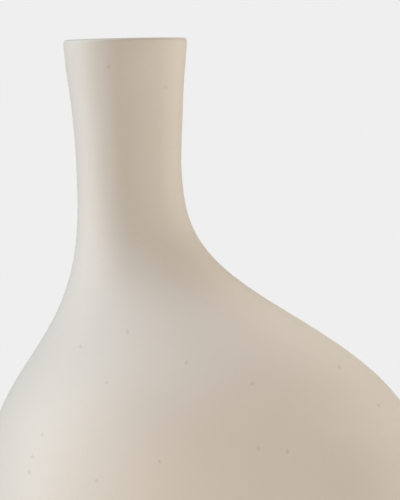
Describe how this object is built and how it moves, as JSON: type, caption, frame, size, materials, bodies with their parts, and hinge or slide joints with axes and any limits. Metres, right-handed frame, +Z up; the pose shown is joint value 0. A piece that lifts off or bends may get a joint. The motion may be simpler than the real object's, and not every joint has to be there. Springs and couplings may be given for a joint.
{
  "type": "bottle vase",
  "caption": "Off-centre stoneware bottle vase with a leaning flared neck, a steep and a long shoulder, and a turned foot ring.",
  "frame": {"origin": "on the floor under the middle of the widest line of the body", "axes": "+Z up; the neck stands towards -X above the steep shoulder; the long shoulder runs towards +X; the XZ plane is the plane of symmetry"},
  "size_m": [0.19, 0.19, 0.3],
  "materials": {
    "bare_clay": "matt, fired, fine-grained",
    "joint_slip": "matt, fired",
    "cream_glaze": "satin matt, speckled",
    "lining_glaze": "soft gloss",
    "silicone": "clear, soft"
  },
  "bodies": {
    "root": {"foot_ring": "bare_clay", "foot_slip": "joint_slip", "lower_bowl": "bare_clay", "belly_slip": "joint_slip", "shoulder_dome": "bare_clay", "neck_slip": "joint_slip", "neck_collar": "bare_clay", "bowl_glaze": "cream_glaze", "shoulder_glaze": "cream_glaze", "bowl_lining": "lining_glaze", "shoulder_lining": "lining_glaze", "bumper_pads": "silicone"}
  },
  "joints": []
}
